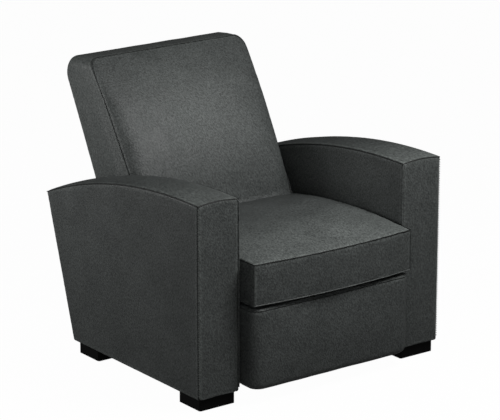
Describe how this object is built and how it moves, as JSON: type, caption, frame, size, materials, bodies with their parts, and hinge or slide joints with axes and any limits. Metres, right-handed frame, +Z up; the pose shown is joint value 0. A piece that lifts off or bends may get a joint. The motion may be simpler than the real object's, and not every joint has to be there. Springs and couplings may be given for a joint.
{
  "type": "cinema recliner seat",
  "caption": "Upholstered recliner armchair with high arched arms, a boxed seat cushion, a reclining back and a footrest that folds out as the seat is pushed forward.",
  "frame": {"origin": "on the floor, in the middle of the overall width and depth", "axes": "+X to the right as seen from the front, +Y to the rear, +Z up"},
  "size_m": [0.92, 0.9964, 0.8971],
  "materials": {
    "charcoal_leather": "fine-grained, soft sheen",
    "frame_wood": "sawn and planed, unfinished",
    "foot_black": "satin black stain",
    "mechanism_steel": "satin black",
    "fastener_steel": "zinc plated",
    "spring_steel": "oiled",
    "deck_fabric": "woven black cloth"
  },
  "bodies": {
    "base": {"base_pivot_pins": "fastener_steel", "base_plate_screws": "fastener_steel", "base_plates": "mechanism_steel", "foot_screws": "fastener_steel", "front_base_rail": "frame_wood", "front_feet": "foot_black", "left_arm_bottom_board": "frame_wood", "left_arm_front_facing": "charcoal_leather", "left_arm_inner_panel": "charcoal_leather", "left_arm_outer_panel": "charcoal_leather", "left_arm_posts": "frame_wood", "left_arm_rear_panel": "charcoal_leather", "left_arm_top_pad": "charcoal_leather", "left_arm_top_rail": "frame_wood", "rail_dowels": "frame_wood", "rear_base_rail": "frame_wood", "rear_feet": "foot_black", "right_arm_bottom_board": "frame_wood", "right_arm_front_facing": "charcoal_leather", "right_arm_inner_panel": "charcoal_leather", "right_arm_outer_panel": "charcoal_leather", "right_arm_posts": "frame_wood", "right_arm_rear_panel": "charcoal_leather", "right_arm_top_pad": "charcoal_leather", "right_arm_top_rail": "frame_wood"},
    "front_swing_links": {"front_swing_links": "mechanism_steel", "cross_tube": "mechanism_steel"},
    "rear_swing_links": {"rear_swing_links": "mechanism_steel"},
    "seat_carriage": {"seat_cushion": "charcoal_leather", "seat_deck_cloth": "deck_fabric", "seat_front_rail": "frame_wood", "seat_pivot_pins": "fastener_steel", "seat_plate_screws": "fastener_steel", "seat_plates": "mechanism_steel", "seat_rear_rail": "frame_wood", "seat_side_rails": "frame_wood", "seat_spring_clips": "fastener_steel", "seat_springs": "spring_steel"},
    "footrest_rear_links": {"footrest_rear_links": "mechanism_steel", "rear_link_pins": "fastener_steel"},
    "footrest_front_links": {"footrest_front_links": "mechanism_steel"},
    "footrest_lower_links": {"footrest_lower_links": "mechanism_steel", "front_link_pins": "fastener_steel"},
    "footrest_upper_links": {"footrest_upper_links": "mechanism_steel"},
    "footrest": {"footrest_pad": "charcoal_leather", "footrest_board": "frame_wood", "footrest_brackets": "mechanism_steel", "bracket_screws": "fastener_steel", "footrest_bracket_pins": "fastener_steel"},
    "back": {"back_bolts": "fastener_steel", "back_bottom_rail": "frame_wood", "back_brackets": "mechanism_steel", "back_left_boxing": "charcoal_leather", "back_outer_panel": "charcoal_leather", "back_pad": "charcoal_leather", "back_posts": "frame_wood", "back_right_boxing": "charcoal_leather", "back_top_band": "charcoal_leather", "back_top_rail": "frame_wood", "back_webbing": "deck_fabric"}
  },
  "joints": [
    {"name": "seat_swing", "type": "hinge", "parent": "base", "child": "front_swing_links", "pos_m": [0, -0.09125, 0.088], "axis": [1, 0, 0], "range_deg": [0, 40]},
    {"name": "seat_level", "type": "hinge", "parent": "front_swing_links", "child": "seat_carriage", "pos_m": [0, -0.04325, 0.219], "axis": [-1, 0, 0], "range_deg": [0, 40]},
    {"name": "rear_swing", "type": "hinge", "parent": "base", "child": "rear_swing_links", "pos_m": [0, 0.04875, 0.088], "axis": [1, 0, 0], "range_deg": [0, 40]},
    {"name": "footrest_rear_link_turn", "type": "hinge", "parent": "seat_carriage", "child": "footrest_rear_links", "pos_m": [0, -0.27125, 0.276], "axis": [-1, 0, 0], "range_deg": [0, 98]},
    {"name": "footrest_front_link_turn", "type": "hinge", "parent": "seat_carriage", "child": "footrest_front_links", "pos_m": [0, -0.31525, 0.288], "axis": [-1, 0, 0], "range_deg": [0, 98]},
    {"name": "footrest_lower_link_turn", "type": "hinge", "parent": "footrest_rear_links", "child": "footrest_lower_links", "pos_m": [0, -0.16125, 0.104], "axis": [1, 0, 0], "range_deg": [0, 98]},
    {"name": "footrest_upper_link_turn", "type": "hinge", "parent": "footrest_rear_links", "child": "footrest_upper_links", "pos_m": [0, -0.17525, 0.142], "axis": [1, 0, 0], "range_deg": [0, 98]},
    {"name": "footrest_turn", "type": "hinge", "parent": "footrest_lower_links", "child": "footrest", "pos_m": [0, -0.37125, 0.228], "axis": [-1, 0, 0], "range_deg": [0, 98]},
    {"name": "back_recline", "type": "hinge", "parent": "seat_carriage", "child": "back", "pos_m": [0, 0.12675, 0.268], "axis": [-1, 0, 0], "range_deg": [0, 28]}
  ],
  "couplings": [
    {"joint": "seat_level", "follows": "seat_swing", "ratio": 1},
    {"joint": "rear_swing", "follows": "seat_swing", "ratio": 1},
    {"joint": "footrest_rear_link_turn", "follows": "seat_swing", "ratio": 2.45},
    {"joint": "footrest_front_link_turn", "follows": "seat_swing", "ratio": 2.45},
    {"joint": "footrest_lower_link_turn", "follows": "seat_swing", "ratio": 2.45},
    {"joint": "footrest_upper_link_turn", "follows": "seat_swing", "ratio": 2.45},
    {"joint": "footrest_turn", "follows": "seat_swing", "ratio": 2.45}
  ]
}
